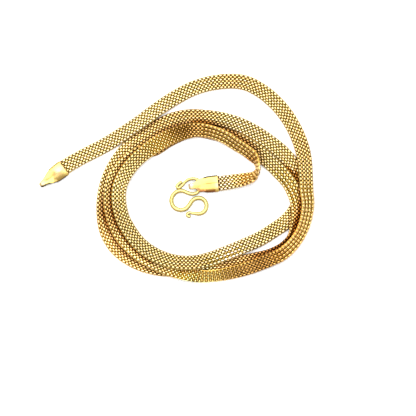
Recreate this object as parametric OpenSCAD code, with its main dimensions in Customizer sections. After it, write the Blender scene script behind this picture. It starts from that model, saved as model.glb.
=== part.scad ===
// Flat woven mesh necklace with two end caps and an M-shaped hook, lying coiled on a table.
// Millimetres. +X and +Y span the table, +Z is up, and the table is at z = 0.

/* [Band] */
// Width of the woven band
band_w = 4.5; // [4.3:0.05:4.5]
// Thickness of the woven band
band_t = 1.1; // [0.9:0.05:1.1]
// Chamfer along the band's four long edges
band_edge = 0.35; // [0.35:0.05:0.4]
// Longest step between two sections of the band
band_step = 2.4; // [1.6:0.1:3]

/* [End caps] */
// Length of a cap from its nose to its mouth
cap_l = 9.1; // [9:0.1:9.4]
// Width of a cap at its mouth
cap_w = 5.2; // [5.15:0.05:5.3]
// Height of a cap
cap_h = 2; // [1.95:0.05:2.2]
// Thickness of the sheet that the caps are formed from
cap_wall = 0.22; // [0.18:0.01:0.24]
// Squareness of a cap's section
cap_square = 3.6; // [3.2:0.1:5]
// Length of the folded tongue that forms a cap's eye
eye_l = 4.5; // [4.4:0.1:4.6]
// Outside height of the folded tongue
eye_h = 1.84; // [1.8:0.02:1.9]
// Thickness of the folded tongue
eye_wall = 0.28; // [0.2:0.02:0.3]
// Width of the tongue at the nose
nose_w = 1.8; // [1.5:0.1:2]

/* [Hook] */
// Scale of the hook's wire against its full thickness
wire_scale = 1; // [0.85:0.05:1]
// Number of sides on the wire
wire_sides = 10; // [8:1:12]
// Longest step between two sections of the wire
wire_step = 0.55; // [0.4:0.05:0.8]

/* [Hidden] */
gold = [0.86, 0.68, 0.32];
pale_gold = [0.95, 0.84, 0.5];

// Moves the coil's middle onto the origin
middle = [0.12, 0.07, 0];

// Route of the band's middle line, columns: x, y, height, roll in degrees.
// A positive roll lifts the edge on the left of the way along the route.

// First turn: from the outer cap over the top and down the right side to the bottom
turn_1 = [
    [-35.7, 2.2, 1.00, 0],
    [-33.1, 4.0, 0.92, 0],
    [-30.2, 5.7, 0.68, 0],
    [-21.3, 10.4, 0.66, -2],
    [-12.8, 16.0, 1.12, -17],
    [-4.3, 22.1, 0.92, -11],
    [0.0, 24.8, 0.64, 0],
    [4.9, 27.3, 0.57, 0],
    [10.4, 28.9, 0.56, 0],
    [21.7, 28.7, 0.56, 0],
    [26.5, 26.0, 0.56, 0],
    [30.6, 22.4, 0.58, 0],
    [36.4, 13.7, 0.67, 0],
    [38.1, 9.2, 0.84, -5],
    [39.0, 4.9, 1.25, -17],
    [39.3, 0.6, 1.70, -23],
    [39.5, -3.7, 2.35, -28],
    [39.9, -7.9, 2.64, -35],
    [39.4, -11.9, 2.55, -38],
    [38.1, -15.9, 2.51, -40],
    [32.1, -23.1, 2.50, -30],
    [27.4, -25.3, 2.35, -26],
    [16.8, -28.8, 1.88, -33],
    [7.6, -29.9, 1.67, -32],
    [4.0, -29.2, 1.80, -4],
];

// Second turn: up the left side, under the top of the coil, and back along the bottom
turn_2 = [
    [-0.3, -28.2, 1.91, 2],
    [-5.2, -26.4, 1.96, 10],
    [-13.7, -21.1, 1.85, 18],
    [-16.9, -17.4, 1.85, 18],
    [-19.0, -13.1, 1.85, 18],
    [-20.1, -8.2, 1.85, 18],
    [-18.8, 0.2, 1.89, 18],
    [-14.4, 5.4, 1.52, 20],
    [-11.0, 7.8, 1.35, 20],
    [-6.7, 9.1, 0.80, 6],
    [-2.8, 11.6, 0.66, 0],
    [6.1, 14.7, 0.56, 0],
    [11.3, 13.8, 0.56, 0],
    [21.8, 9.7, 0.60, 0],
    [26.7, 6.2, 0.63, 0],
    [31.0, 2.1, 0.95, 8],
    [34.3, -1.9, 1.55, 22],
    [36.2, -5.5, 1.90, 5],
    [37.1, -9.2, 1.92, -2],
    [37.1, -12.2, 1.74, -14],
    [36.5, -15.2, 1.37, -24],
    [35.3, -18.5, 1.48, -32],
    [33.1, -21.2, 1.23, -22],
    [29.3, -23.5, 0.80, -6],
    [24.7, -24.8, 0.62, 0],
    [19.2, -25.9, 0.58, 0],
    [8.5, -27.0, 0.56, 0],
    [3.4, -27.5, 0.56, 0],
];

// Third turn: the lowest strand of the left side, over the top, under the right side and back
turn_3 = [
    [-6.4, -27.4, 0.56, 0],
    [-11.0, -26.1, 0.56, 0],
    [-18.7, -20.9, 0.56, 0],
    [-20.9, -17.4, 0.56, 0],
    [-22.3, -9.2, 0.56, 0],
    [-20.8, -0.3, 0.56, 0],
    [-16.6, 7.1, 0.56, 0],
    [-9.3, 13.2, 0.56, 0],
    [-5.1, 15.9, 0.60, 0],
    [-0.9, 17.8, 0.74, -5],
    [4.0, 18.8, 1.09, -17],
    [8.8, 18.6, 1.10, -17],
    [18.6, 16.4, 0.66, 0],
    [28.1, 11.0, 0.58, 0],
    [32.0, 7.8, 0.56, 0],
    [35.1, 4.1, 0.56, 0],
    [37.8, -3.4, 0.56, 0],
    [37.4, -6.9, 0.56, 0],
    [33.4, -13.1, 0.56, 0],
    [29.7, -15.8, 0.58, 0],
    [25.3, -18.5, 0.80, 3],
    [20.4, -20.7, 1.35, 12],
    [15.2, -22.8, 1.80, 15],
    [10.4, -24.6, 2.15, 18],
    [6.4, -25.6, 2.64, 20],
    [-2.1, -25.2, 2.88, 19],
];

// Last turn: the top strand of the left side, then the hairpin on edge and the inner cap
turn_4 = [
    [-11.3, -20.1, 2.58, 20],
    [-14.3, -16.3, 2.40, 20],
    [-16.6, -12.0, 2.40, 20],
    [-17.6, -7.6, 2.40, 20],
    [-17.5, -3.2, 2.46, 20],
    [-13.3, 4.4, 2.36, 20],
    [-10.1, 7.4, 2.46, 18],
    [-1.9, 12.6, 1.94, 0],
    [2.7, 14.2, 2.02, 6],
    [7.0, 14.6, 2.50, 24],
    [10.8, 13.9, 2.75, 34],
    [14.3, 12.5, 2.85, 34],
    [18.1, 10.1, 2.60, 38],
    [21.1, 8.2, 2.45, 42],
    [23.2, 6.4, 2.43, 48],
    [24.4, 4.4, 2.40, 74],
    [24.6, 2.3, 2.31, 80],
    [23.3, 0.5, 2.00, 56],
    [20.6, -0.4, 1.60, 34],
    [17.4, -1.0, 1.20, 20],
    [14.3, -1.5, 1.00, 5],
    [10.1, -1.9, 1.00, 0],
];

// Route of the hook's wire, columns: x, y, height, radius
hook_route = [
    [1.53, -1.10, 0.50, 0.26],
    [0.98, -1.43, 0.50, 0.28],
    [0.42, -1.86, 0.50, 0.29],
    [0.02, -2.33, 0.50, 0.30],
    [0.04, -2.84, 0.50, 0.31],
    [0.50, -3.02, 0.50, 0.33],
    [1.08, -2.68, 0.51, 0.35],
    [1.71, -2.10, 0.56, 0.38],
    [2.38, -1.31, 0.66, 0.41],
    [3.11, -0.68, 0.78, 0.44],
    [4.70, -0.20, 0.93, 0.48],
    [6.10, -0.45, 0.93, 0.48],
    [7.10, -1.30, 0.93, 0.48],
    [7.30, -2.30, 0.93, 0.48],
    [6.95, -3.50, 0.93, 0.48],
    [6.05, -4.50, 0.92, 0.52],
    [4.65, -4.90, 0.82, 0.56],
    [3.15, -4.50, 0.70, 0.60],
    [1.75, -3.95, 0.66, 0.63],
    [0.25, -4.05, 0.66, 0.66],
    [-1.05, -5.00, 0.66, 0.66],
    [-1.70, -6.50, 0.66, 0.66],
    [-1.45, -8.10, 0.66, 0.66],
    [-0.35, -9.35, 0.66, 0.66],
    [1.15, -9.75, 0.66, 0.66],
    [2.70, -9.35, 0.66, 0.66],
    [3.80, -8.15, 0.66, 0.66],
    [4.65, -6.90, 0.66, 0.66],
    [5.90, -6.20, 0.66, 0.66],
    [7.40, -6.20, 0.66, 0.66],
    [8.60, -7.10, 0.66, 0.66],
    [9.00, -8.50, 0.66, 0.66],
    [8.50, -10.00, 0.66, 0.64],
    [7.20, -10.85, 0.62, 0.60],
    [5.50, -10.82, 0.56, 0.52],
    [4.58, -10.68, 0.52, 0.46],
    [3.81, -10.60, 0.50, 0.42],
    [3.26, -10.84, 0.50, 0.38],
    [3.06, -11.30, 0.50, 0.35],
    [3.42, -11.70, 0.50, 0.32],
    [4.15, -11.84, 0.50, 0.30],
];

// Where each cap's nose is, and the direction from its nose to its mouth in degrees
outer_nose = [-41.7, -2.4, 0];
outer_turned = 37;
inner_nose = [3.5, -2.6, 0];
inner_turned = 6;

// A cap's sections, columns: distance from the nose, half width and height as shares of the full ones
cap_sections = [
    [eye_l, 0.83, 0.94],
    [eye_l + 0.5, 0.91, 0.97],
    [eye_l + 1.3, 0.965, 0.99],
    [eye_l + 2.6, 0.99, 1],
    [cap_l, 1, 1],
];
// Half widths of each cap's tongue from the nose to the cap, columns: distance from the nose, half width
outer_tongue = [
    [0, nose_w * 0.34],
    [0.3, nose_w * 0.42],
    [1, nose_w * 0.5],
    [2, nose_w * 0.62],
    [3, nose_w * 0.83],
    [4, 1.95],
    [eye_l + 0.3, cap_w * 0.42],
];
inner_tongue = [
    [0, nose_w * 0.36],
    [0.25, nose_w * 0.46],
    [0.7, nose_w * 0.5],
    [2, nose_w * 0.53],
    [2.5, 1.5],
    [3, 1.92],
    [3.6, 2.1],
    [eye_l + 0.3, cap_w * 0.42],
];
// Sides on a cap's section
cap_sides = 28;
// Thickness of the wall between the eye and the hollow of a cap
front_wall = 0.3;
// Overlap that makes a cut run clear of a face
over = 0.5;

// Distance between two rows of a route in plan
function plan_gap(p, i) = norm([p[i + 1].x - p[i].x, p[i + 1].y - p[i].y]);

// Slope of a smooth curve at row i, weighted by the distances to its neighbours
function slope(p, i) =
    i == 0 ? (p[1] - p[0]) / plan_gap(p, 0) :
    i == len(p) - 1 ? (p[i] - p[i - 1]) / plan_gap(p, i - 1) :
    let (a = plan_gap(p, i - 1), b = plan_gap(p, i))
    ((p[i] - p[i - 1]) / a * b + (p[i + 1] - p[i]) / b * a) / (a + b);

// Point at share t between rows i and i + 1
function between(p, i, t) =
    let (h = plan_gap(p, i))
    (2 * t ^ 3 - 3 * t ^ 2 + 1) * p[i] + (t ^ 3 - 2 * t ^ 2 + t) * h * slope(p, i)
    + (3 * t ^ 2 - 2 * t ^ 3) * p[i + 1] + (t ^ 3 - t ^ 2) * h * slope(p, i + 1);

// Points along the smooth curve through the rows from first to last
function smooth(p, first, last, step) = [
    for (i = [first : last - 1])
        let (n = max(1, ceil(plan_gap(p, i) / step)))
        for (k = [0 : n - 1]) between(p, i, k / n),
    p[last],
];

function xyz(row) = [row[0], row[1], row[2]];
function unit(v) = v / norm(v);

// Direction of the way along a list of points at point i
function along(q, i) = unit(xyz(q[min(i + 1, len(q) - 1)]) - xyz(q[max(i - 1, 0)]));

// One section across the route, given as [side, up] offsets and turned by the row's roll
function section(q, i, outline, roll) =
    let (
        t = along(q, i),
        left = unit(cross([0, 0, 1], t)),
        up = cross(t, left),
        side = cos(roll) * left + sin(roll) * up,
        lift = cross(t, side)
    )
    [for (o = outline) xyz(q[i]) + o[0] * side + o[1] * lift];

// Closed solid through rings of points that all have the same number of points
module loft(rings) {
    n = len(rings[0]);
    last = len(rings) - 1;
    walls = [
        for (i = [0 : last - 1], k = [0 : n - 1])
            let (a = i * n + k, b = i * n + (k + 1) % n)
            each [[a, b + n, b], [a, a + n, b + n]]
    ];
    ends = [[for (k = [0 : n - 1]) k], [for (k = [n - 1 : -1 : 0]) last * n + k]];
    polyhedron(points = [for (r = rings) each r], faces = concat(walls, ends), convexity = 10);
}

// Flattened section of the band with chamfered long edges
band_outline = [
    [band_w / 2, -band_t / 2 + band_edge],
    [band_w / 2, band_t / 2 - band_edge],
    [band_w / 2 - band_edge, band_t / 2],
    [-band_w / 2 + band_edge, band_t / 2],
    [-band_w / 2, band_t / 2 - band_edge],
    [-band_w / 2, -band_t / 2 + band_edge],
    [-band_w / 2 + band_edge, -band_t / 2],
    [band_w / 2 - band_edge, -band_t / 2],
];
band_route = concat(turn_1, turn_2, turn_3, turn_4);
outer_points = smooth(band_route, 0, len(turn_1), band_step);
band_points = smooth(band_route, 0, len(band_route) - 1, band_step);
band_rings = [
    for (i = [0 : len(band_points) - 1]) section(band_points, i, band_outline, band_points[i][3])
];
join = len(outer_points) - 1;

// Outer turn of the woven band, one solid up to where it meets the inner turns
module mesh_band_outer() {
    color(gold) loft([for (i = [0 : join]) band_rings[i]]);
}

// The inner turns of the woven band, one solid
module mesh_band_inner() {
    color(gold) loft([for (i = [join : len(band_rings) - 1]) band_rings[i]]);
}

function sign_power(v, e) = sign(v) * abs(v) ^ e;

// Rounded square ring across a cap, standing at distance u from the nose with its lowest point at z = low
function cap_ring(u, half_w, h, low) = [
    for (k = [0 : cap_sides - 1])
        let (
            a = 360 * k / cap_sides,
            across = sign_power(cos(a), 2 / cap_square),
            rise = 1 + sign_power(sin(a), 2 / cap_square)
        )
        [u, half_w * across, low + h / 2 * rise]
];

// Hollow formed sheet that holds the end of the band
module cap_shell() {
    outside = [for (s = cap_sections) cap_ring(s[0], cap_w / 2 * s[1], cap_h * s[2], 0)];
    inside = [
        for (s = cap_sections)
            let (u = s[0] == cap_l ? cap_l + over : s[0] + front_wall)
            cap_ring(u, cap_w / 2 * s[1] - cap_wall, cap_h * s[2] - 2 * cap_wall, cap_wall)
    ];
    difference() {
        loft(outside);
        loft(inside);
    }
}

// Side view of the folded tongue: a flat loop with a round nose
module tongue_profile(inset, length) {
    r = eye_h / 2;
    translate([r, r]) circle(r = r - inset, $fn = 40);
    translate([r, inset]) square([length - r, eye_h - 2 * inset]);
}

// The tongue folded back under itself, open at both sides as the cap's eye
module cap_eye(tongue) {
    intersection() {
        rotate([90, 0, 0]) linear_extrude(height = cap_w, center = true) difference() {
            tongue_profile(0, eye_l + front_wall / 2);
            tongue_profile(eye_wall, eye_l + over);
        }
        linear_extrude(height = cap_h) polygon(concat(
            [for (s = tongue) [s[0], s[1]]],
            [for (i = [len(tongue) - 1 : -1 : 0]) [tongue[i][0], -tongue[i][1]]]
        ));
    }
}

// End cap with its nose at the origin and its mouth towards +X
module end_cap(tongue) {
    union() {
        cap_shell();
        cap_eye(tongue);
    }
}

// Cap at the outer end of the band
module end_cap_outer() {
    color(pale_gold) translate(outer_nose) rotate([0, 0, outer_turned]) end_cap(outer_tongue);
}

// Cap at the inner end of the band, which carries the hook
module end_cap_inner() {
    color(pale_gold) translate(inner_nose) rotate([0, 0, inner_turned]) end_cap(inner_tongue);
}

// Round section of the wire with radius r
function wire_outline(r) = [
    for (k = [0 : wire_sides - 1])
        let (a = 360 * k / wire_sides)
        [r * cos(a), r * sin(a)]
];

// M-shaped hook of round tapering wire, threaded through the inner cap's eye
module clasp_hook() {
    q = smooth(hook_route, 0, len(hook_route) - 1, wire_step);
    color(pale_gold) loft([for (i = [0 : len(q) - 1]) section(q, i, wire_outline(q[i][3] * wire_scale), 0)]);
}

translate(middle) {
    mesh_band_outer();
    mesh_band_inner();
    end_cap_outer();
    end_cap_inner();
    clasp_hook();
}
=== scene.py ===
"""Looks of a flat woven gold-coloured necklace that lies coiled on a pale table."""
import math
import random

import bpy
import numpy as np
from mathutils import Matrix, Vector


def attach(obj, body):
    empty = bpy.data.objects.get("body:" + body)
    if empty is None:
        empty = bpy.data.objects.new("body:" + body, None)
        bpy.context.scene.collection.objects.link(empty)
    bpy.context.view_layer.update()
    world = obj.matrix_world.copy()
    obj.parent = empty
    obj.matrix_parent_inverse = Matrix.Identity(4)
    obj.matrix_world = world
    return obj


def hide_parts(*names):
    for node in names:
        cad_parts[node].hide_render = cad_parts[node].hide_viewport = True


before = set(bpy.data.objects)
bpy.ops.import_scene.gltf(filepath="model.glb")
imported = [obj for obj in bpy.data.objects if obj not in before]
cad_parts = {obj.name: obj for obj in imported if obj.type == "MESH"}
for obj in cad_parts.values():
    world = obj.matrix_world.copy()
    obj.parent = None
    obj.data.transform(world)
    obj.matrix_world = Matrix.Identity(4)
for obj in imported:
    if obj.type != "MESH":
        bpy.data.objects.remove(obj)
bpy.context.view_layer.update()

MM = 0.001

# The photograph, in millimetres on the table
PHOTO_PIXELS = 416
PIXEL = 0.305
PHOTO_MIDDLE = (9.575, -9.08)
CAMERA_HEIGHT = 1200.0

# The coil's middle is moved onto the origin, as in the part's source
MIDDLE = np.array([0.12, 0.07, 0.0])

# Route of the band's middle line, columns: x, y, height, roll in degrees
TURN_1 = [
    (-35.7, 2.2, 1.00, 0),
    (-33.1, 4.0, 0.92, 0),
    (-30.2, 5.7, 0.68, 0),
    (-21.3, 10.4, 0.66, -2),
    (-12.8, 16.0, 1.12, -17),
    (-4.3, 22.1, 0.92, -11),
    (0.0, 24.8, 0.64, 0),
    (4.9, 27.3, 0.57, 0),
    (10.4, 28.9, 0.56, 0),
    (21.7, 28.7, 0.56, 0),
    (26.5, 26.0, 0.56, 0),
    (30.6, 22.4, 0.58, 0),
    (36.4, 13.7, 0.67, 0),
    (38.1, 9.2, 0.84, -5),
    (39.0, 4.9, 1.25, -17),
    (39.3, 0.6, 1.70, -23),
    (39.5, -3.7, 2.35, -28),
    (39.9, -7.9, 2.64, -35),
    (39.4, -11.9, 2.55, -38),
    (38.1, -15.9, 2.51, -40),
    (32.1, -23.1, 2.50, -30),
    (27.4, -25.3, 2.35, -26),
    (16.8, -28.8, 1.88, -33),
    (7.6, -29.9, 1.67, -32),
    (4.0, -29.2, 1.80, -4),
]
TURN_2 = [
    (-0.3, -28.2, 1.91, 2),
    (-5.2, -26.4, 1.96, 10),
    (-13.7, -21.1, 1.85, 18),
    (-16.9, -17.4, 1.85, 18),
    (-19.0, -13.1, 1.85, 18),
    (-20.1, -8.2, 1.85, 18),
    (-18.8, 0.2, 1.89, 18),
    (-14.4, 5.4, 1.52, 20),
    (-11.0, 7.8, 1.35, 20),
    (-6.7, 9.1, 0.80, 6),
    (-2.8, 11.6, 0.66, 0),
    (6.1, 14.7, 0.56, 0),
    (11.3, 13.8, 0.56, 0),
    (21.8, 9.7, 0.60, 0),
    (26.7, 6.2, 0.63, 0),
    (31.0, 2.1, 0.95, 8),
    (34.3, -1.9, 1.55, 22),
    (36.2, -5.5, 1.90, 5),
    (37.1, -9.2, 1.92, -2),
    (37.1, -12.2, 1.74, -14),
    (36.5, -15.2, 1.37, -24),
    (35.3, -18.5, 1.48, -32),
    (33.1, -21.2, 1.23, -22),
    (29.3, -23.5, 0.80, -6),
    (24.7, -24.8, 0.62, 0),
    (19.2, -25.9, 0.58, 0),
    (8.5, -27.0, 0.56, 0),
    (3.4, -27.5, 0.56, 0),
]
TURN_3 = [
    (-6.4, -27.4, 0.56, 0),
    (-11.0, -26.1, 0.56, 0),
    (-18.7, -20.9, 0.56, 0),
    (-20.9, -17.4, 0.56, 0),
    (-22.3, -9.2, 0.56, 0),
    (-20.8, -0.3, 0.56, 0),
    (-16.6, 7.1, 0.56, 0),
    (-9.3, 13.2, 0.56, 0),
    (-5.1, 15.9, 0.60, 0),
    (-0.9, 17.8, 0.74, -5),
    (4.0, 18.8, 1.09, -17),
    (8.8, 18.6, 1.10, -17),
    (18.6, 16.4, 0.66, 0),
    (28.1, 11.0, 0.58, 0),
    (32.0, 7.8, 0.56, 0),
    (35.1, 4.1, 0.56, 0),
    (37.8, -3.4, 0.56, 0),
    (37.4, -6.9, 0.56, 0),
    (33.4, -13.1, 0.56, 0),
    (29.7, -15.8, 0.58, 0),
    (25.3, -18.5, 0.80, 3),
    (20.4, -20.7, 1.35, 12),
    (15.2, -22.8, 1.80, 15),
    (10.4, -24.6, 2.15, 18),
    (6.4, -25.6, 2.64, 20),
    (-2.1, -25.2, 2.88, 19),
]
TURN_4 = [
    (-11.3, -20.1, 2.58, 20),
    (-14.3, -16.3, 2.40, 20),
    (-16.6, -12.0, 2.40, 20),
    (-17.6, -7.6, 2.40, 20),
    (-17.5, -3.2, 2.46, 20),
    (-13.3, 4.4, 2.36, 20),
    (-10.1, 7.4, 2.46, 18),
    (-1.9, 12.6, 1.94, 0),
    (2.7, 14.2, 2.02, 6),
    (7.0, 14.6, 2.50, 24),
    (10.8, 13.9, 2.75, 34),
    (14.3, 12.5, 2.85, 34),
    (18.1, 10.1, 2.60, 38),
    (21.1, 8.2, 2.45, 42),
    (23.2, 6.4, 2.43, 48),
    (24.4, 4.4, 2.40, 74),
    (24.6, 2.3, 2.31, 80),
    (23.3, 0.5, 2.00, 56),
    (20.6, -0.4, 1.60, 34),
    (17.4, -1.0, 1.20, 20),
    (14.3, -1.5, 1.00, 5),
    (10.1, -1.9, 1.00, 0),
]

# Route of the hook's wire, columns: x, y, height, radius
HOOK_ROUTE = [
    (1.53, -1.10, 0.50, 0.26),
    (0.98, -1.43, 0.50, 0.28),
    (0.42, -1.86, 0.50, 0.29),
    (0.02, -2.33, 0.50, 0.30),
    (0.04, -2.84, 0.50, 0.31),
    (0.50, -3.02, 0.50, 0.33),
    (1.08, -2.68, 0.51, 0.35),
    (1.71, -2.10, 0.56, 0.38),
    (2.38, -1.31, 0.66, 0.41),
    (3.11, -0.68, 0.78, 0.44),
    (4.70, -0.20, 0.93, 0.48),
    (6.10, -0.45, 0.93, 0.48),
    (7.10, -1.30, 0.93, 0.48),
    (7.30, -2.30, 0.93, 0.48),
    (6.95, -3.50, 0.93, 0.48),
    (6.05, -4.50, 0.92, 0.52),
    (4.65, -4.90, 0.82, 0.56),
    (3.15, -4.50, 0.70, 0.60),
    (1.75, -3.95, 0.66, 0.63),
    (0.25, -4.05, 0.66, 0.66),
    (-1.05, -5.00, 0.66, 0.66),
    (-1.70, -6.50, 0.66, 0.66),
    (-1.45, -8.10, 0.66, 0.66),
    (-0.35, -9.35, 0.66, 0.66),
    (1.15, -9.75, 0.66, 0.66),
    (2.70, -9.35, 0.66, 0.66),
    (3.80, -8.15, 0.66, 0.66),
    (4.65, -6.90, 0.66, 0.66),
    (5.90, -6.20, 0.66, 0.66),
    (7.40, -6.20, 0.66, 0.66),
    (8.60, -7.10, 0.66, 0.66),
    (9.00, -8.50, 0.66, 0.66),
    (8.50, -10.00, 0.66, 0.64),
    (7.20, -10.85, 0.62, 0.60),
    (5.50, -10.82, 0.56, 0.52),
    (4.58, -10.68, 0.52, 0.46),
    (3.81, -10.60, 0.50, 0.42),
    (3.26, -10.84, 0.50, 0.38),
    (3.06, -11.30, 0.50, 0.35),
    (3.42, -11.64, 0.50, 0.32),
    (4.25, -11.76, 0.50, 0.30),
]

# The hook's wire: its least radius, its rounded tips, and how finely it is made
HOOK_THIN = 0.47
HOOK_TIP = 0.34
HOOK_TIP_FLAT = 0.02
HOOK_TIP_RINGS = 6
HOOK_RINGS = 320
HOOK_SIDES = 16
HOOK_STEP = 0.12

# Where each cap's nose is, and the direction from its nose to its mouth in degrees
OUTER_NOSE = (-41.7, -2.4)
OUTER_TURNED = 37.0
INNER_NOSE = (3.5, -2.6)
INNER_TURNED = 6.0

# Tongues of the two caps, columns: distance from the nose, half width
OUTER_TONGUE = [
    (0.0, 0.612),
    (0.3, 0.756),
    (1.0, 0.9),
    (2.0, 1.116),
    (3.0, 1.494),
    (4.0, 1.95),
    (5.2, 2.184),
]
INNER_TONGUE = [
    (0.0, 0.648),
    (0.25, 0.828),
    (0.7, 0.9),
    (2.0, 0.954),
    (2.5, 1.5),
    (3.0, 1.92),
    (3.6, 2.1),
    (5.2, 2.184),
]

# Hollow body of both caps, columns: distance from the nose, half width, height
CAP_BODY = [
    (4.3, 1.95, 1.7),
    (4.5, 2.14, 1.84),
    (5.0, 2.36, 1.92),
    (5.8, 2.51, 1.98),
    (7.1, 2.56, 2.0),
    (8.8, 2.57, 2.0),
    (9.1, 2.6, 2.02),
]

# The body's wall, the front of its hollow, and how steeply its underside rises from the second row above
# to the first
CAP_WALL = 0.22
CAP_FRONT = 4.9
FRONT_SLOPE = 0.6

# The eye that the folded tongue makes: its height outside, the sheet's thickness, and where it ends
EYE_HEIGHT = 1.84
EYE_SHEET = 0.28
EYE_END = 5.2

# How square the body and the tongue are in section, and how finely they are made
CAP_SQUARE = 2.8
CAP_SIDES = 56
OUTSIDE_RINGS = 30
INSIDE_RINGS = 20
STRIP_SQUARE = 4.0
STRIP_SIDES = 28
STRIP_RINGS = 40
BEND_RINGS = 20

# The skin round body and tongue, and the heights over which dents and paint set in
CAP_VOXEL = 0.075
CAP_RELAX = 0.5
CAP_RELAX_TIMES = 4
DENT_HEIGHTS = (0.7, 1.2)
PAINT_HEIGHTS = (0.2, 0.6)

# Distance between the points at which the band's route is worked out
BAND_STEP = 0.1

# Sizes of the weave: pads in rows of four, links in rows of three between them
CELL = 1.2
ROW = 1.21
PAD_WIDE = 0.98
PAD_ACROSS = 0.37
PAD_RISE = 0.43
LINK_WIDE = 0.98
LINK_ACROSS = 0.33
LINK_RISE = 0.34
RING_THICK = 0.2
SQUARE = 2.6
WIRE = 0.66
WIRE_HIGH = 0.34
WIRE_WAVE = 0.02
RING_STEPS = 12
RING_SIDES = 6
WIRE_SIDES = 5
WIRE_STEPS = 4

# Places of the two rows in a cell, and how much the rings stray, lean and slant at random
PAD_SHIFT = 0.25
LINK_SHIFT = 0.75
STRAY_ALONG = 0.012
STRAY_ACROSS = 0.01
RING_LEAN = 0.06
RING_SLANT = 0.05

# Lowest brightness of a ring, the most that chance adds to it, and the share of that which wires get
TONE_LOWEST = 0.82
TONE_RANGE = 0.18
WIRE_TONE = 0.3

# Wires that close the band's two edges, and how bright they are painted in shade and in the open
EDGE_AT = 2.33
EDGE_WIDE = 0.24
EDGE_HIGH = 0.46
EDGE_SWELL = 0.3
EDGE_SHADE = 0.66
EDGE_OPEN = 0.94

# Where the band tilts, its links are painted in shade, and the wires under its pads are raised and painted
# brighter, so that its pads stand in bright lines: how much, and between which rolls this sets in
LINK_SHADE = 0.45
WIRE_SHADE = 0.38
WIRE_TILTED = 0.8
TILT_FROM = 21
TILT_TO = 33

# The next three tables have the columns:
# distance, value on the strand's left half, value on its right half

# Share of such lines that is added where the strand tilts little, or taken away although it tilts
LINES = [
    (126, 0.0, 0.0),
    (132, -0.5, -0.5),
    (138, -0.7, -0.7),
    (144, -1.0, -1.0),
    (159, -1.0, -1.0),
    (163, 0.0, 0.0),
    (254, 0.0, 0.0),
    (260, 0.4, 0.7),
    (267, 0.4, 0.7),
    (272, 0.0, 0.0),
    (461, 0.0, 0.0),
    (466, 0.7, 0.0),
    (473, 0.7, 0.0),
    (477, 0.0, 0.0),
    (568, 0.0, 0.0),
    (572, -0.6, -0.6),
    (586, -0.6, -0.6),
]

# Share by which the rings crowd into crosswise bars, and the size of a bar against a ring:
# along the band, across it and up
BARS = [
    (138, 0.0, 0.0),
    (144, 1.0, 1.0),
    (159, 1.0, 1.0),
    (163, 0.0, 0.0),
    (526, 0.0, 0.0),
    (531, 1.0, 1.0),
    (543, 1.0, 1.0),
    (547, 0.0, 0.0),
]
BAR_SHAPE = (0.43, 1.15, 1.0)

# How much deeper or fainter the painted shade beside a higher strand is
SEAMS = [
    (412, 1.0, 1.0),
    (424, 0.4, 2.6),
    (434, 0.4, 2.6),
    (440, 0.7, 0.7),
    (452, 0.7, 0.7),
    (458, 1.0, 1.0),
]

# Colours of the weave from its depths to its tops, the depths painted dark as shade, columns: position,
# colour
WOVEN_RAMP = [
    (0.4, (0.2, 0.12, 0.01, 1)),
    (0.6, (0.52, 0.36, 0.075, 1)),
    (0.8, (0.76, 0.575, 0.225, 1)),
    (0.97, (0.82, 0.64, 0.345, 1)),
]

# What the weave's colour is multiplied by where a layer is full, columns: layer, colour
WOVEN_TINTS = [
    # Painted warm shade
    ("warm", (1.0, 0.68, 0.42, 1)),
    # Painted pale highlight
    ("pale", (1.0, 1.05, 1.9, 1)),
    # Painted shade beside higher strands
    ("crevice_shade", (0.38, 0.2, 0.065, 1)),
]
WOVEN_ROUGHNESS = (0.2, 0.28)

# Colours of the caps and the hook, columns: position, colour
SMOOTH_RAMP = [
    (0.3, (0.66, 0.46, 0.1, 1)),
    (0.7, (0.73, 0.55, 0.15, 1)),
]
SMOOTH_ROUGHNESS = (0.22, 0.36)

# Caps and hook: share of bare metal in their looks, and the painted shade on steep sides and on sides that
# face -y, away from the softbox, with the parts of the normal between which it sets in
SMOOTH_METAL = 0.6
STEEP_SHADE = (0.6, 0.74, 0.45)
STEEP_FROM = 0.85
STEEP_TO = 0.25
LOWER_SHADE = (0.75, 0.58, 0.4)
LOWER_FROM = 0.15
LOWER_TO = 0.75

# Tint of the whole hook
HOOK_TINT = (0.88, 0.95, 1.25)

# Most of these soft spots are painted highlights and painted shade
# Soft spots painted on the caps, columns: along, across, half length, half width, red, green, blue
OUTER_SPOTS = [
    (7.3, 0.5, 1.7, 1.2, 1.0, 1.03, 2.3),
    (0.8, 0.0, 1.4, 1.0, 1.0, 1.0, 2.0),
    (5.4, 0.3, 1.1, 0.4, 0.5, 0.4, 0.3),
    (3.4, 0.1, 1.5, 0.22, 0.45, 0.4, 0.35),
    (8.4, -1.4, 0.8, 0.7, 1.3, 1.4, 1.6),
    (5.2, 0.9, 1.3, 0.8, 0.93, 0.84, 0.7),
]
INNER_SPOTS = [
    (0.7, 0.3, 0.7, 0.8, 1.0, 1.0, 3.5),
    (8.7, -0.6, 0.5, 1.0, 1.0, 1.0, 1.8),
    (2.6, -1.1, 0.8, 0.5, 0.3, 0.2, 0.3),
    (6.5, 0.2, 2.0, 0.12, 0.35, 0.33, 0.45),
    (6.2, 0.0, 1.9, 1.2, 0.93, 0.83, 0.68),
]

# Painted shade bands on the caps' edges, columns: from, to, edge (1 upper, -1 lower), width, red, green, blue
OUTER_EDGES = [
    (-1.0, 3.4, -1, 0.65, 0.09, 0.085, 0.03),
    (2.6, 8.8, -1, 0.35, 0.2, 0.15, 0.08),
    (0.6, 9.0, 1, 0.35, 0.6, 0.7, 0.5),
]
INNER_EDGES = [
    (2.6, 8.4, -1, 1.3, 0.6, 0.38, 0.3),
    (3.0, 8.2, -1, 0.75, 0.55, 0.44, 0.4),
    (4.4, 9.3, 1, 0.5, 0.08, 0.07, 0.035),
]

# Distance over which such a band fades in at its ends, and the share of its width that is full
PAINT_FADE = 0.6
PAINT_FULL = 0.6

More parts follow.
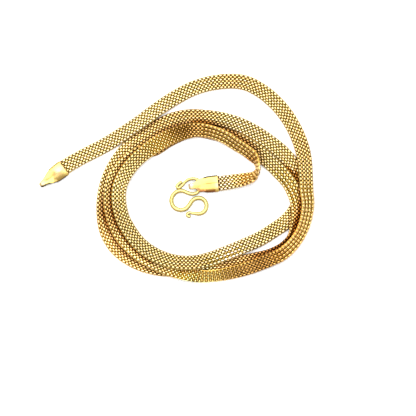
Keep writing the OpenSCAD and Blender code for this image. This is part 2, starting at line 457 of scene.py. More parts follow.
# The outer cap's ridge runs along its middle, and bends to the lower edge before the tongue
RIDGE_MIDDLE = -0.05
RIDGE_MOVE = 1.6
RIDGE_BEND = (5.3, 4.0)
RIDGE_BACK = (7.6, 6.8)
RIDGE_WIDE = 0.14
# The ridge is drawn as a line of painted shade
RIDGE_SHADE = (0.45, 0.4, 0.35)

# The facet between the ridge and the lower edge
FACET_FRONT = (4.0, 4.4)
FACET_BACK = (9.2, 7.4)
FACET_FADE = 0.25
FACET_WIDE = 2
FACET_SLOPE = 0.07
# The facet is painted in shade
FACET_SHADE = (0.58, 0.52, 0.5)

# The outer cap's hollows, columns: along, across, half length, half width, depth
HOLLOWS = [
    (5.6, 0.45, 0.7, 0.7, 0.16),
    (2.6, 0.1, 1.1, 0.5, 0.12),
]

# The inner cap's lengthwise crease, and the shoulder that slopes to its tongue on the lower side
CREASE_MIDDLE = 0.2
CREASE_WIDE = 0.14
CREASE_DEEP = 0.05
CREASE_FRONT = (4.8, 5.6)
SHOULDER_DEEP = 0.12
SHOULDER_ALONG = (4.9, 3.2)
SHOULDER_ACROSS = (0.4, -0.9)

# Distances along the band at which one turn ends and the next starts
TURN_ENDS = (158, 319, 491)

# Half the band's width, and how far from a strand's edge the open starts
BAND_HALF = 2.25
OPEN_REACH = 1.0

# Painted shade beside a higher strand: its reach from that strand's edge, the further reach for each
# millimetre of height, the share of the reach that is full, what is added to the height, the height that
# makes the shade full, and the most that counts
CREVICE_REACH = 0.8
CREVICE_SPREAD = 0.6
CREVICE_FULL = 0.25
CREVICE_LIFT = 0.1
CREVICE_DROP = 0.8
CREVICE_MOST = 3

# The shade is worked out for a block of the strand at a time, from every fourth point of strands nearby
CREVICE_BLOCK = 4.0
CREVICE_STRIDE = 4
CREVICE_LOOK = 4 * BAND_HALF

# Distance of the caps' mouths from the route's two ends, and how far and how deep the band is painted in
# shade
OUTER_MOUTH = 1.5
INNER_MOUTH = 2.45
MOUTH_REACH = 0.9
MOUTH_SHADE = 0.85

# Painted light and shade along the band, columns: distance, brightness, warmth of the gold in painted
# shade (below 0 it is pale, a painted highlight), depth of the shade beside a higher strand
COLOUR = [
    (0, 1.05, -0.05, 1.0),
    (28, 1.0, -0.15, 1.0),
    (50, 1.0, 0.0, 1.0),
    (60, 0.95, 0.35, 1.0),
    (72, 1.0, 0.05, 1.0),
    (84, 1.05, 0.15, 1.0),
    (92, 0.95, 0.4, 1.0),
    (100, 0.9, 0.25, 1.0),
    (108, 1.15, 0.35, 1.0),
    (116, 1.45, 0.4, 1.0),
    (124, 1.4, 0.6, 1.0),
    (133, 0.6, 1.0, 1.0),
    (140, 0.85, 0.8, 1.0),
    (147, 1.6, 0.35, 0.7),
    (157, 2.1, 0.35, 0.4),
    (164, 1.0, 0.3, 1.0),
    (172, 1.45, 0.0, 1.0),
    (188, 0.85, 0.65, 1.0),
    (198, 1.1, 0.1, 1.0),
    (212, 1.1, 0.15, 0.8),
    (244, 1.0, 0.1, 0.9),
    (252, 0.8, 0.0, 0.5),
    (258, 1.0, 0.05, 0.8),
    (266, 1.25, 0.25, 0.8),
    (274, 1.1, 0.4, 1.5),
    (280, 0.95, 0.5, 1.5),
    (293, 0.75, 0.85, 0.5),
    (302, 1.0, 0.5, 0.4),
    (309, 2.3, 0.0, 0.0),
    (318, 1.3, 0.2, 0.3),
    (334, 1.3, 0.4, 0.8),
    (342, 1.4, 0.3, 0.8),
    (349, 0.9, 0.6, 1.0),
    (357, 1.25, -0.1, 0.5),
    (370, 1.15, 0.1, 0.3),
    (380, 0.95, 0.35, 0.6),
    (396, 0.8, 0.4, 1.2),
    (406, 1.0, -0.2, 0.6),
    (416, 0.95, -0.1, 0.5),
    (428, 1.1, 0.1, 1.0),
    (444, 1.3, 0.0, 0.8),
    (452, 0.9, 0.1, 1.0),
    (468, 1.0, -0.35, 1.0),
    (477, 0.85, 0.25, 1.0),
    (494, 0.82, 0.05, 1.0),
    (504, 0.9, 0.05, 1.0),
    (516, 1.15, -0.1, 1.0),
    (526, 0.95, 0.1, 1.0),
    (533, 1.6, 0.25, 1.0),
    (541, 0.85, 0.55, 1.0),
    (548, 0.95, 0.7, 1.0),
    (556, 1.1, 0.4, 1.0),
    (576, 1.1, 0.65, 1.0),
    (581, 1.0, -0.4, 1.0),
]

# Painted highlights and shade on the weave, columns: x, y, half length along x, along y, brightness, warmth
PATCHES = [
    (18.3, -24.2, 4.5, 1.8, 1.5, -0.35),
    (28.0, -22.6, 4.0, 2.0, 0.85, 0.6),
    (1.5, 14.6, 5.0, 1.8, 0.7, 0.3),
    (-18.5, -11.5, 1.6, 4.0, 0.85, 0.3),
    (36.5, -13.5, 1.2, 4.5, 0.85, 0.5),
    (25.2, 3.9, 1.0, 1.8, 1.6, -0.4),
    (22.4, 5.6, 2.2, 1.2, 0.75, 0.5),
]

# Half the table's side, the brightness of the white surround, and the soft lights,
# columns: name, place in metres, side, power, whether it shows in reflections
TABLE_HALF = 3000.0
SURROUND = 0.48
LIGHTS = [
    ("softbox_above", (-0.1, 0.3, 0.85), 1.15, 16.5, True),
    ("table_wash", (0, 0, 1.6), 2.6, 16, False),
]


def smooth_step(low, high, value):
    """From 0 at low to 1 at high, with soft ends."""
    t = np.clip((value - low) / (high - low), 0, 1)
    return t * t * (3 - 2 * t)


def soft_spot(u, v, at_u, at_v, half_u, half_v):
    """A share that is 1 at one place and falls off softly around it."""
    return np.exp(-(((u - at_u) / half_u) ** 2) - ((v - at_v) / half_v) ** 2)


def soft_line(v, at, half):
    """A share that is 1 on a line and falls off softly to both sides."""
    return np.exp(-(((v - at) / half) ** 2))


def between(value, share):
    """One moved towards the value's three numbers by each point's share."""
    return 1 + (np.array(value) - 1) * share[:, None]


def on_half(table, s, across):
    """The table's value at distance s, from the column of that half of the strand."""
    at, left, right = np.array(table).T
    return np.where(across > 0, np.interp(s, at, left), np.interp(s, at, right))


def full_turn(steps):
    """Evenly spaced angles of a full turn."""
    return np.arange(steps) * 2 * math.pi / steps


def drawn_out(angle, power):
    """Cosine and sine of the angle, each raised to the power with its sign kept."""
    c, d = np.cos(angle), np.sin(angle)
    return np.sign(c) * abs(c) ** power, np.sign(d) * abs(d) ** power


def smooth_route(rows, step):
    """Points along the smooth curve through the rows, at most step apart."""
    p = np.array(rows, float)
    moves = np.diff(p, axis=0)
    gap = np.linalg.norm(moves[:, :2], axis=1)
    slope = np.empty_like(p)
    slope[0] = moves[0] / gap[0]
    slope[-1] = moves[-1] / gap[-1]
    before, after = gap[:-1, None], gap[1:, None]
    slope[1:-1] = (moves[:-1] / before * after + moves[1:] / after * before) / (before + after)
    out = []
    for i, h in enumerate(gap):
        count = max(1, math.ceil(h / step))
        for t in np.arange(count) / count:
            out.append(
                (2 * t**3 - 3 * t**2 + 1) * p[i]
                + (t**3 - 2 * t**2 + t) * h * slope[i]
                + (3 * t**2 - 2 * t**3) * p[i + 1]
                + (t**3 - t**2) * h * slope[i + 1]
            )
    out.append(p[-1])
    return np.array(out)


class Path:
    """A smooth route with its side and lift directions at any distance along it."""

    def __init__(self, rows, step):
        points = smooth_route(rows, step)
        self.centre = points[:, :3] + MIDDLE
        self.extra = points[:, 3]
        along = np.gradient(self.centre, axis=0)
        along /= np.linalg.norm(along, axis=1)[:, None]
        left = np.cross([0.0, 0.0, 1.0], along)
        left /= np.linalg.norm(left, axis=1)[:, None]
        self.left, self.up = left, np.cross(along, left)
        roll = np.radians(self.extra)[:, None]
        self.side = np.cos(roll) * self.left + np.sin(roll) * self.up
        step_lengths = np.linalg.norm(np.diff(self.centre, axis=0), axis=1)
        self.distance = np.concatenate([[0.0], np.cumsum(step_lengths)])
        self.length = self.distance[-1]

    def at(self, values, s):
        return np.stack([np.interp(s, self.distance, values[:, k]) for k in range(3)], axis=-1)

    def place(self, s, across, rise):
        """Points at distance s along the route, moved across the band and up from it, which rolls with it."""
        roll = np.radians(np.interp(s, self.distance, self.extra))[..., None]
        left, up = self.at(self.left, s), self.at(self.up, s)
        side = np.cos(roll) * left + np.sin(roll) * up
        lift = np.cos(roll) * up - np.sin(roll) * left
        return self.at(self.centre, s) + across[..., None] * side + rise[..., None] * lift


def tube_faces(rings, sides, joined):
    """Quads between rings of points, numbered ring by ring, and from the last to the first if joined."""
    last = rings if joined else rings - 1
    ring, side = np.meshgrid(np.arange(last), np.arange(sides), indexing="ij")
    this_ring, next_ring = ring * sides, (ring + 1) % rings * sides
    next_side = (side + 1) % sides
    corners = [this_ring + side, this_ring + next_side, next_ring + next_side, next_ring + side]
    return np.stack(corners, axis=-1).reshape(-1, 4)


def end_faces(rings, sides, start=0):
    """Faces that close the first and the last ring of a tube whose points are numbered from start."""
    first = range(start, start + sides)
    last = range(start + (rings - 1) * sides, start + rings * sides)
    return [list(reversed(first)), list(last)]


def closed_tube(rings, sides):
    """All faces of a tube that is closed at both ends."""
    return tube_faces(rings, sides, False).tolist() + end_faces(rings, sides)


def ring_shape(across, rise, wide):
    """A ring that stands across the band, made of flattened wire: columns along, across, up."""
    turn = full_turn(RING_STEPS)
    round_wire = full_turn(RING_SIDES)
    c, d = drawn_out(turn, 2 / SQUARE)
    out_c, out_d = drawn_out(turn, 2 - 2 / SQUARE)
    out = np.stack([out_c / across, out_d / rise], axis=1)
    out /= np.linalg.norm(out, axis=1)[:, None]
    middle = np.stack([across * c, rise * d], axis=1)
    along = np.broadcast_to(wide / 2 * np.cos(round_wire), (RING_STEPS, RING_SIDES))
    away = RING_THICK / 2 * np.sin(round_wire)
    cross = middle[:, None, :] + away[None, :, None] * out[:, None, :]
    return np.concatenate([along[..., None], cross], axis=-1).reshape(-1, 3)


def new_object(name, data):
    """An object with this data, in the scene."""
    made = bpy.data.objects.new(name, data)
    bpy.context.scene.collection.objects.link(made)
    return made


def new_mesh(name, points, faces):
    """A mesh from points in millimetres."""
    mesh = bpy.data.meshes.new(name)
    mesh.from_pydata((points * MM).tolist(), [], faces)
    return mesh


def dress_mesh(mesh, material):
    """Gives the mesh smooth shading and the material."""
    mesh.polygons.foreach_set("use_smooth", [True] * len(mesh.polygons))
    mesh.materials.clear()
    mesh.materials.append(material)


def mesh_object(name, points, faces, material):
    """A smooth-shaded mesh from points in millimetres, as an object in the scene."""
    mesh = new_mesh(name, points, faces)
    dress_mesh(mesh, material)
    mesh.validate()
    return new_object(name, mesh)


def add_layer(piece, name, values):
    """Keeps one number for each point of the piece, which its material reads."""
    layer = piece.data.attributes.new(name, "FLOAT", "POINT")
    layer.data.foreach_set("value", values.astype(np.float32))


def add_tint(piece, painted):
    """Tints a smooth piece with painted shade: olive on steep sides, brown where it faces -y, away from the
    softbox.
    """
    normals = np.empty(len(piece.data.vertices) * 3)
    piece.data.vertices.foreach_get("normal", normals)
    normals = normals.reshape(-1, 3)
    steep = smooth_step(STEEP_FROM, STEEP_TO, normals[:, 2])
    lower = smooth_step(LOWER_FROM, LOWER_TO, -normals[:, 1])
    tint = between(STEEP_SHADE, steep) * between(LOWER_SHADE, lower) * painted
    layer = piece.data.attributes.new("tint", "FLOAT_COLOR", "POINT")
    layer.data.foreach_set("color", np.column_stack([tint, np.ones(len(tint))]).astype(np.float32).ravel())


def crevice_shade(path, s, placed):
    """Painted shade at each point beside a higher strand, and how far it is in the open, both from 0 to 1."""
    every = slice(None, None, CREVICE_STRIDE)
    centre, distance, side = path.centre[every], path.distance[every], path.side[every]
    turn = np.searchsorted(TURN_ENDS, distance)
    half = np.linalg.norm(side[:, :2], axis=1) * BAND_HALF
    deepest, beyond = np.zeros(len(s)), np.full(len(s), OPEN_REACH)
    for start in np.arange(s.min(), s.max(), CREVICE_BLOCK):
        mine = np.flatnonzero((s >= start) & (s < start + CREVICE_BLOCK))
        if len(mine) == 0:
            continue
        points = placed[mine]
        rows = np.arange(len(mine))
        close = np.linalg.norm(centre[:, :2] - points[:, :2].mean(axis=0), axis=1) < CREVICE_LOOK
        close &= np.abs(distance - start - CREVICE_BLOCK / 2) > CREVICE_LOOK
        for which in np.unique(turn[close]):
            near = np.flatnonzero(close & (turn == which))
            gap = points[:, None, :2] - centre[near][None, :, :2]
            away = np.linalg.norm(gap, axis=2)
            closest = away.argmin(axis=1)
            there = near[closest]
            sign = np.sign(np.einsum("ij,ij->i", gap[rows, closest], side[there, :2]))
            edge_height = centre[there, 2] + sign * BAND_HALF * side[there, 2]
            drop = np.clip(edge_height - points[:, 2] + CREVICE_LIFT, 0, CREVICE_MOST)
            reach = CREVICE_REACH + CREVICE_SPREAD * drop
            past_edge = away[rows, closest] - half[there]
            beyond[mine] = np.minimum(beyond[mine], past_edge)
            shade = smooth_step(reach, CREVICE_FULL * reach, past_edge)
            deepest[mine] = np.maximum(deepest[mine], shade * np.clip(drop / CREVICE_DROP, 0, 1))
    return deepest, smooth_step(0, OPEN_REACH, beyond)


def tilted(path, s, across):
    """How far the strand shows lengthwise lines of painted shade and painted brightness, from 0 to 1."""
    share = smooth_step(TILT_FROM, TILT_TO, abs(np.interp(s, path.distance, path.extra)))
    return np.clip(share + on_half(LINES, s, across), 0, 1)


class Pile:
    """Shapes that become one mesh, each with its tone and its painted shade where the strand tilts."""

    def __init__(self):
        self.points, self.faces, self.ends, self.tones, self.lows = [], [], [], [], []
        self.count = 0

    def add(self, shape, faces, tone, low):
        self.points.append(shape)
        self.faces.append(faces + self.count)
        self.tones.append(np.full(len(shape), tone))
        self.lows.append(np.full(len(shape), low))
        self.count += len(shape)


def add_rings(pile, cell, first, last):
    """Adds the rings of the cells from first to last, with small random differences."""
    chance = random.Random(first)
    pad = ring_shape(PAD_ACROSS, PAD_RISE, PAD_WIDE)
    link = ring_shape(LINK_ACROSS, LINK_RISE, LINK_WIDE)
    faces = tube_faces(RING_STEPS, RING_SIDES, True)
    for i in range(first, last):
        for shape, shift, rows, low in ((pad, PAD_SHIFT, 4, 0), (link, LINK_SHIFT, 3, LINK_SHADE)):
            for j in range(rows):
                s = (i + shift) * cell + chance.gauss(0, STRAY_ALONG)
                across = (j - (rows - 1) / 2) * ROW + chance.gauss(0, STRAY_ACROSS)
                ring = shape * between(BAR_SHAPE, on_half(BARS, [s], across))
                lean, slant = chance.gauss(0, RING_LEAN), chance.gauss(0, RING_SLANT)
                ring[:, 0] += s + ring[:, 2] * lean + ring[:, 1] * slant
                ring[:, 1] += across
                pile.add(ring, faces, chance.random(), low)


def add_wires(pile, path, cell, first, last):
    """Adds seven inner wires and two edge wires, and gives the number of the edge wires' first point."""
    steps = (last - first) * WIRE_STEPS
    s = (first + np.arange(steps + 1) / WIRE_STEPS) * cell
    wave = np.cos((s / cell - PAD_SHIFT) * 2 * math.pi)
    circle = full_turn(WIRE_SIDES)
    faces = tube_faces(steps + 1, WIRE_SIDES, False)

    def add(offset, wide, high, low):
        pile.ends += end_faces(steps + 1, WIRE_SIDES, pile.count)
        points = np.stack([
            np.repeat(s, WIRE_SIDES),
            (offset[:, None] + (wide / 2)[:, None] * np.cos(circle)).ravel(),
            ((high / 2)[:, None] * np.sin(circle)).ravel(),
        ], axis=1)
        pile.add(points, faces, WIRE_TONE, low)

    same = np.ones_like(wave)
    for k in range(-3, 4):
        across = k / 2 * ROW
        under_pads = k % 2
        high = WIRE_HIGH * (1 + WIRE_TILTED * tilted(path, s, across) * under_pads)
        add(across + WIRE_WAVE * wave, WIRE * same, high, -WIRE_SHADE * under_pads)
    edge_start = pile.count
    swell = 1 + EDGE_SWELL * wave
    for side in (-1, 1):
        add(side * (EDGE_AT - EDGE_WIDE / 2) * same, EDGE_WIDE * swell, EDGE_HIGH * swell, 0)
    return edge_start


def paint_weave(piece, path, local, placed, tones, beside_higher):
    """Adds the layers of painted brightness, warm shade, pale highlights and shade that the material reads.
    """
    s, across = local[:, 0], local[:, 1]
    # Brightness along the band is painted light and shade, and warmth is painted warm shade
    distance, bright, warm, beside = np.array(COLOUR).T
    tone = (TONE_LOWEST + TONE_RANGE * tones) * np.interp(s, distance, bright)
    warm = np.interp(s, distance, warm)
    # Painted highlights and painted shade in patches
    for x, y, half_x, half_y, brighter, warmer in PATCHES:
        share = soft_spot(placed[:, 0], placed[:, 1], x, y, half_x, half_y)
        tone *= 1 + (brighter - 1) * share
        warm += warmer * share
    # The band is painted in shade where it enters a cap's mouth
    mouth = np.minimum(s - OUTER_MOUTH, path.length - INNER_MOUTH - s)
    beside_higher = np.maximum(beside_higher, MOUTH_SHADE * smooth_step(MOUTH_REACH, 0, mouth))
    beside = np.interp(s, distance, beside) * on_half(SEAMS, s, across)
    add_layer(piece, "tone", tone)
    # Painted warm shade, and a painted pale highlight where the warmth is below 0
    add_layer(piece, "warm", np.clip(warm, 0, 1))
    add_layer(piece, "pale", np.clip(-warm, 0, 1))
    # Painted shade beside higher strands and at the caps' mouths
    add_layer(piece, "crevice_shade", beside_higher * beside)


def weave_piece(name, path, first, last, cells, material):
    """The woven rings and crimped wires of the cells from first to last."""
    cell = path.length / cells
    pile = Pile()
    add_rings(pile, cell, first, last)
    edge_start = add_wires(pile, path, cell, first, last)
    local = np.concatenate(pile.points)
    s, across, rise = local.T
    placed = path.place(np.clip(s, 0, path.length), across, rise)
    beside_higher, in_open = crevice_shade(path, s, placed)
    # The shade layer paints points low in the weave darker, as shade in its depths
    shade = np.clip(np.abs(rise) / (PAD_RISE + RING_THICK / 2), 0, 1)
    # Where the strand tilts, links are painted in shade and the wires under the pads painted brighter
    shade -= tilted(path, s, across) * np.concatenate(pile.lows)
    # Edge wires are painted in shade beside another strand, and painted lighter where they lie in the open
    shade[edge_start:] = EDGE_SHADE + (EDGE_OPEN - EDGE_SHADE) * in_open[edge_start:]
    piece = mesh_object(name, placed, np.concatenate(pile.faces).tolist() + pile.ends, material)
    add_layer(piece, "shade", shade)
    paint_weave(piece, path, local, placed, np.concatenate(pile.tones), beside_higher)
    return piece


def make_weave(material):
    """The band's weave: two pieces for the outer turn and three for the inner turns."""
    path = Path(TURN_1 + TURN_2 + TURN_3 + TURN_4, BAND_STEP)
    cells = round(path.length / CELL)
    join = Path(TURN_1 + TURN_2[:1], BAND_STEP).length
    split = round(join / path.length * cells)
    third = (cells - split) // 3
    parts = [
        ("weave_outer_a", 0, split // 2),
        ("weave_outer_b", split // 2, split),
        ("weave_inner_a", split, split + third),
        ("weave_inner_b", split + third, split + 2 * third),
        ("weave_inner_c", split + 2 * third, cells),
    ]
    for name, first, last in parts:
        piece = weave_piece(name, path, first, last, cells, material)
        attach(piece, "root")
        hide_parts("mesh_band_outer" if "outer" in name else "mesh_band_inner")


def make_hook(material):
    """Round tapering wire with rounded tips, in place of the faceted hook."""
    path = Path(HOOK_ROUTE, HOOK_STEP)
    rounding = HOOK_TIP * (1 - np.cos(np.linspace(0, math.pi / 2, HOOK_TIP_RINGS)[1:]))
    between_tips = np.linspace(HOOK_TIP, path.length - HOOK_TIP, HOOK_RINGS)[1:-1]
    s = np.concatenate([rounding, between_tips, path.length - rounding[::-1]])
    near = np.clip(np.minimum(s, path.length - s) / HOOK_TIP, 0, 1)
    radius = np.maximum(np.interp(s, path.distance, path.extra), HOOK_THIN)
    radius = radius * np.sqrt(np.clip(1 - (1 - near) ** 2, HOOK_TIP_FLAT, 1))
    turn = full_turn(HOOK_SIDES)
    centre, left, up = path.at(path.centre, s), path.at(path.left, s), path.at(path.up, s)
    ring = np.cos(turn)[None, :, None] * left[:, None, :] + np.sin(turn)[None, :, None] * up[:, None, :]
    points = (centre[:, None, :] + radius[:, None, None] * ring).reshape(-1, 3)
    hook = mesh_object("hook_wire", points, closed_tube(len(s), HOOK_SIDES), material)
    add_tint(hook, np.array(HOOK_TINT))
    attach(hook, "root")
    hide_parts("clasp_hook")


def cap_body():
    """Points and faces of the hollow body: outside from front to mouth, then inside to the front wall."""
    at, half_widths, heights = np.array(CAP_BODY).T
    c, d = drawn_out(full_turn(CAP_SIDES), 2 / CAP_SQUARE)
    outside = np.linspace(at[0], at[-1], OUTSIDE_RINGS)
    inside = np.linspace(at[-1], CAP_FRONT, INSIDE_RINGS)
    rings = []
    for places, wall in ((outside, 0.0), (inside, CAP_WALL)):
        for u in places:
            half = np.interp(u, at, half_widths) - wall
            low = max(wall, (at[1] - u) * FRONT_SLOPE)
            high = np.interp(u, at, heights) - wall
            rings.append(np.stack([np.full_like(c, u), half * c, low + (high - low) / 2 * (1 + d)], axis=1))
    return np.concatenate(rings), closed_tube(len(rings), CAP_SIDES)


def cap_tongue(widths):
    """Points and faces of the tongue: a flat strip from the body round the nose and back under itself."""
    at, half_widths = np.array(widths).T
    middle = EYE_HEIGHT / 2
    bend = middle - EYE_SHEET / 2
    angle = np.linspace(math.pi / 2, 3 * math.pi / 2, BEND_RINGS)
    straight = np.linspace(EYE_END, middle, STRIP_RINGS, endpoint=False)
    level = np.ones(STRIP_RINGS)
    u = np.concatenate([straight, middle + bend * np.cos(angle), straight[::-1]])
    away = np.concatenate([level * angle[0], angle, level * angle[-1]])
    c, d = drawn_out(full_turn(STRIP_SIDES), 2 / STRIP_SQUARE)
    half = np.interp(u, at, half_widths)
    lift = EYE_SHEET / 2 * d
    rings = np.stack([
        u[:, None] + np.cos(away)[:, None] * lift,
        half[:, None] * c,
        (middle + bend * np.sin(away))[:, None] + np.sin(away)[:, None] * lift,
    ], axis=-1)
    return rings.reshape(-1, 3), closed_tube(len(u), STRIP_SIDES)


def painted_cap(u, v, widths, spots, edges):
    """Painted light and shade at each point of a cap, from its tables of soft spots and of edge bands."""
    body, tongue = np.array(CAP_BODY), np.array(widths)
    on_tongue = np.interp(u, tongue[:, 0], tongue[:, 1])
    on_body = np.interp(u, body[:, 0], body[:, 1])
    half = np.where(u < body[0, 0], on_tongue, on_body)
    tint = np.ones((len(u), 3))
    for along, across, length, width, *colour in spots:
        tint *= between(colour, soft_spot(u, v, along, across, length, width))
    for first, last, edge, width, *colour in edges:
        share = smooth_step(first, first + PAINT_FADE, u) * smooth_step(last, last - PAINT_FADE, u)
        tint *= between(colour, share * smooth_step(width, PAINT_FULL * width, half - edge * v))
    return tint


def outer_look(u, v):
    """Dents and painted light and shade of the outer cap: a facet beside a ridge, and two shallow hollows."""
    ridge = RIDGE_MIDDLE - RIDGE_MOVE * smooth_step(*RIDGE_BEND, u)
    front = smooth_step(*FACET_FRONT, u)
    facet = smooth_step(ridge, ridge - FACET_FADE, v) * front * smooth_step(*FACET_BACK, u)
    line = soft_line(v, ridge, RIDGE_WIDE) * front * smooth_step(*RIDGE_BACK, u)
    dents = facet * np.clip(ridge - v, 0, FACET_WIDE) * FACET_SLOPE
    for along, across, length, width, depth in HOLLOWS:
        dents = dents + depth * soft_spot(u, v, along, across, length, width)
    tint = painted_cap(u, v, OUTER_TONGUE, OUTER_SPOTS, OUTER_EDGES)
    tint *= between(FACET_SHADE, facet) * between(RIDGE_SHADE, line)
    return dents, tint


def inner_look(u, v):
    """Dents and painted light and shade of the inner cap: a faint lengthwise crease and a sloping shoulder.
    """
    crease = CREASE_DEEP * soft_line(v, CREASE_MIDDLE, CREASE_WIDE) * smooth_step(*CREASE_FRONT, u)
    shoulder = SHOULDER_DEEP * smooth_step(*SHOULDER_ALONG, u) * smooth_step(*SHOULDER_ACROSS, v)
    return crease + shoulder, painted_cap(u, v, INNER_TONGUE, INNER_SPOTS, INNER_EDGES)


def remeshed(name, points, faces):
    """One smoothed closed skin round all the faces, as an object in the scene."""
    rough = new_mesh(name, points, faces)
    made = new_object(name, rough)
    remesh = made.modifiers.new("remesh", "REMESH")
    remesh.mode = "VOXEL"
    remesh.voxel_size = CAP_VOXEL * MM
    relax = made.modifiers.new("relax", "SMOOTH")
    relax.factor = CAP_RELAX
    relax.iterations = CAP_RELAX_TIMES
    skin = bpy.data.meshes.new_from_object(made.evaluated_get(bpy.context.evaluated_depsgraph_get()))
    made.modifiers.clear()
    made.data = skin
    bpy.data.meshes.remove(rough)
    skin.name = name
    return made


def make_cap(name, node, nose, turned, widths, look, material):
    """A cap with its tongue, from its nose towards its mouth in the given direction."""
    body_points, body_faces = cap_body()
    tongue_points, tongue_faces = cap_tongue(widths)
    points = np.concatenate([body_points, tongue_points])
    faces = body_faces + [[k + len(body_points) for k in face] for face in tongue_faces]
    cap = remeshed(name, points, faces)
    skin = cap.data
    flat = np.empty(len(skin.vertices) * 3)
    skin.vertices.foreach_get("co", flat)
    at = flat.reshape(-1, 3) / MM
    dents, tint = look(at[:, 0], at[:, 1])
    at[:, 2] -= dents * smooth_step(*DENT_HEIGHTS, at[:, 2])
    painted = 1 + (tint - 1) * smooth_step(*PAINT_HEIGHTS, at[:, 2:])
    angle = math.radians(turned)
    along = np.array([math.cos(angle), math.sin(angle), 0.0])
    left = np.array([-math.sin(angle), math.cos(angle), 0.0])
    up = np.array([0.0, 0.0, 1.0])
    origin = np.array([nose[0], nose[1], 0.0]) + MIDDLE
    placed = origin + at[:, :1] * along + at[:, 1:2] * left + at[:, 2:] * up
    skin.vertices.foreach_set("co", (placed * MM).ravel())
    dress_mesh(skin, material)
    skin.update()
    add_tint(cap, painted)
    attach(cap, "root")
    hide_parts(node)


def new_material(name):
    """A material and its shader."""
    material = bpy.data.materials.new(name)
    material.use_nodes = True
    return material, material.node_tree.nodes["Principled BSDF"]


def add_node(tree, kind, **settings):
    """A node whose settings are inputs or properties of those names."""
    node = tree.nodes.new(kind)
    for key, value in settings.items():
        if key in node.inputs:
            node.inputs[key].default_value = value
        else:
            setattr(node, key, value)
    return node


def read_layer(tree, name):
    return add_node(tree, "ShaderNodeAttribute", attribute_name=name)


def add_ramp(tree, source, stops):
    """Colour from a source from 0 to 1, through the stops, columns: position, colour."""
    ramp = add_node(tree, "ShaderNodeValToRGB")
    elements = ramp.color_ramp.elements
    elements[0].position = stops[0][0]
    elements[1].position = stops[-1][0]
    for stop in stops[1:-1]:
        elements.new(stop[0])
    for element, stop in zip(elements, stops):
        element.color = stop[1]
    tree.links.new(source, ramp.inputs["Fac"])
    return ramp.outputs["Color"]


def add_roughness(tree, shader, source, smoothest, roughest):
    """Makes the shader's roughness follow a source from 0 to 1."""
    rough = add_node(tree, "ShaderNodeMapRange")
    rough.inputs["To Min"].default_value = smoothest
    rough.inputs["To Max"].default_value = roughest
    tree.links.new(source, rough.inputs["Value"])
    tree.links.new(rough.outputs["Result"], shader.inputs["Roughness"])


def multiply(tree, base, colour=None, share=None, by=(1, 1, 1, 1)):
    """The base colour multiplied by a linked or fixed colour, in full or by a linked share."""
    mix = add_node(tree, "ShaderNodeMix", data_type="RGBA", blend_type="MULTIPLY")
    mix.inputs[0].default_value = 1.0
    mix.inputs[7].default_value = by
    tree.links.new(base, mix.inputs[6])
    if colour is not None:
        tree.links.new(colour, mix.inputs[7])
    if share is not None:
        tree.links.new(share, mix.inputs[0])
    return mix.outputs[2]


def woven_gold():
    """Polished fine gold wire with painted shade: orange-brown on its sides, in its depths and beside higher
    strands.
    """
    material, shader = new_material("woven_gold")
    tree = material.node_tree
    shader.inputs["Metallic"].default_value = 1.0
    tone = read_layer(tree, "tone").outputs["Fac"]
    base = add_ramp(tree, read_layer(tree, "shade").outputs["Fac"], WOVEN_RAMP)
    base = multiply(tree, base, colour=tone)
    for layer, by in WOVEN_TINTS:
        base = multiply(tree, base, share=read_layer(tree, layer).outputs["Fac"], by=by)
    tree.links.new(base, shader.inputs["Base Color"])
    add_roughness(tree, shader, tone, *WOVEN_ROUGHNESS)
    return material


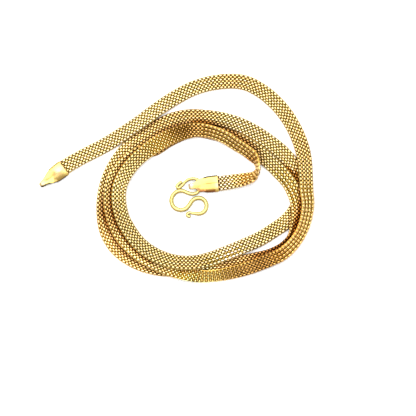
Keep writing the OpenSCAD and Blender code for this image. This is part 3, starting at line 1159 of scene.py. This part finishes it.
def smooth_gold():
    """Pale polished gold with soft hand-worked waves, tinted by each piece's layer of painted light and
    shade.
    """
    material, shader = new_material("smooth_gold")
    tree = material.node_tree
    shader.inputs["Metallic"].default_value = SMOOTH_METAL
    place = add_node(tree, "ShaderNodeTexCoord").outputs["Object"]
    clouds = add_node(tree, "ShaderNodeTexNoise", Scale=260.0, Detail=3.0)
    tree.links.new(place, clouds.inputs["Vector"])
    tint = read_layer(tree, "tint").outputs["Color"]
    base = multiply(tree, add_ramp(tree, clouds.outputs["Fac"], SMOOTH_RAMP), colour=tint)
    tree.links.new(base, shader.inputs["Base Color"])
    add_roughness(tree, shader, clouds.outputs["Fac"], *SMOOTH_ROUGHNESS)
    dents = add_node(tree, "ShaderNodeTexNoise", Scale=900.0, Detail=2.0)
    bump = add_node(tree, "ShaderNodeBump", Strength=0.15, Distance=0.0001)
    tree.links.new(place, dents.inputs["Vector"])
    tree.links.new(dents.outputs["Fac"], bump.inputs["Height"])
    tree.links.new(bump.outputs["Normal"], shader.inputs["Normal"])
    return material


def table_white():
    material, shader = new_material("table_white")
    shader.inputs["Base Color"].default_value = (0.9, 0.9, 0.9, 1)
    shader.inputs["Roughness"].default_value = 0.7
    return material


def make_table():
    corners = np.array([(-1, -1, 0), (1, -1, 0), (1, 1, 0), (-1, 1, 0)]) * TABLE_HALF
    mesh = new_mesh("table", corners, [(0, 1, 2, 3)])
    mesh.materials.append(table_white())
    new_object("table", mesh)


def make_lights():
    """A white surround and the soft lights, which point at the coil."""
    world = bpy.data.worlds.new("studio")
    world.use_nodes = True
    world.node_tree.nodes["Background"].inputs["Color"].default_value = (1, 1, 1, 1)
    world.node_tree.nodes["Background"].inputs["Strength"].default_value = SURROUND
    bpy.context.scene.world = world
    for name, place, side, power, in_reflections in LIGHTS:
        data = bpy.data.lights.new(name, "AREA")
        data.shape = "SQUARE"
        data.size = side
        data.energy = power
        lamp = new_object(name, data)
        lamp.location = place
        towards_coil = Vector((0, 0, 0)) - Vector(place)
        lamp.rotation_euler = towards_coil.to_track_quat("-Z", "Y").to_euler()
        lamp.visible_camera = False
        lamp.visible_glossy = in_reflections


def make_camera():
    data = bpy.data.cameras.new("camera")
    data.sensor_width = 36.0
    data.lens = data.sensor_width * CAMERA_HEIGHT / (PHOTO_PIXELS * PIXEL)
    data.clip_end = 10.0
    camera = new_object("camera", data)
    camera.location = (PHOTO_MIDDLE[0] * MM, PHOTO_MIDDLE[1] * MM, CAMERA_HEIGHT * MM)
    bpy.context.scene.camera = camera


def main():
    bpy.context.scene.view_settings.view_transform = "Standard"
    make_camera()
    make_weave(woven_gold())
    gold = smooth_gold()
    make_hook(gold)
    make_cap("cap_outer", "end_cap_outer", OUTER_NOSE, OUTER_TURNED, OUTER_TONGUE, outer_look, gold)
    make_cap("cap_inner", "end_cap_inner", INNER_NOSE, INNER_TURNED, INNER_TONGUE, inner_look, gold)
    make_table()
    make_lights()


main()
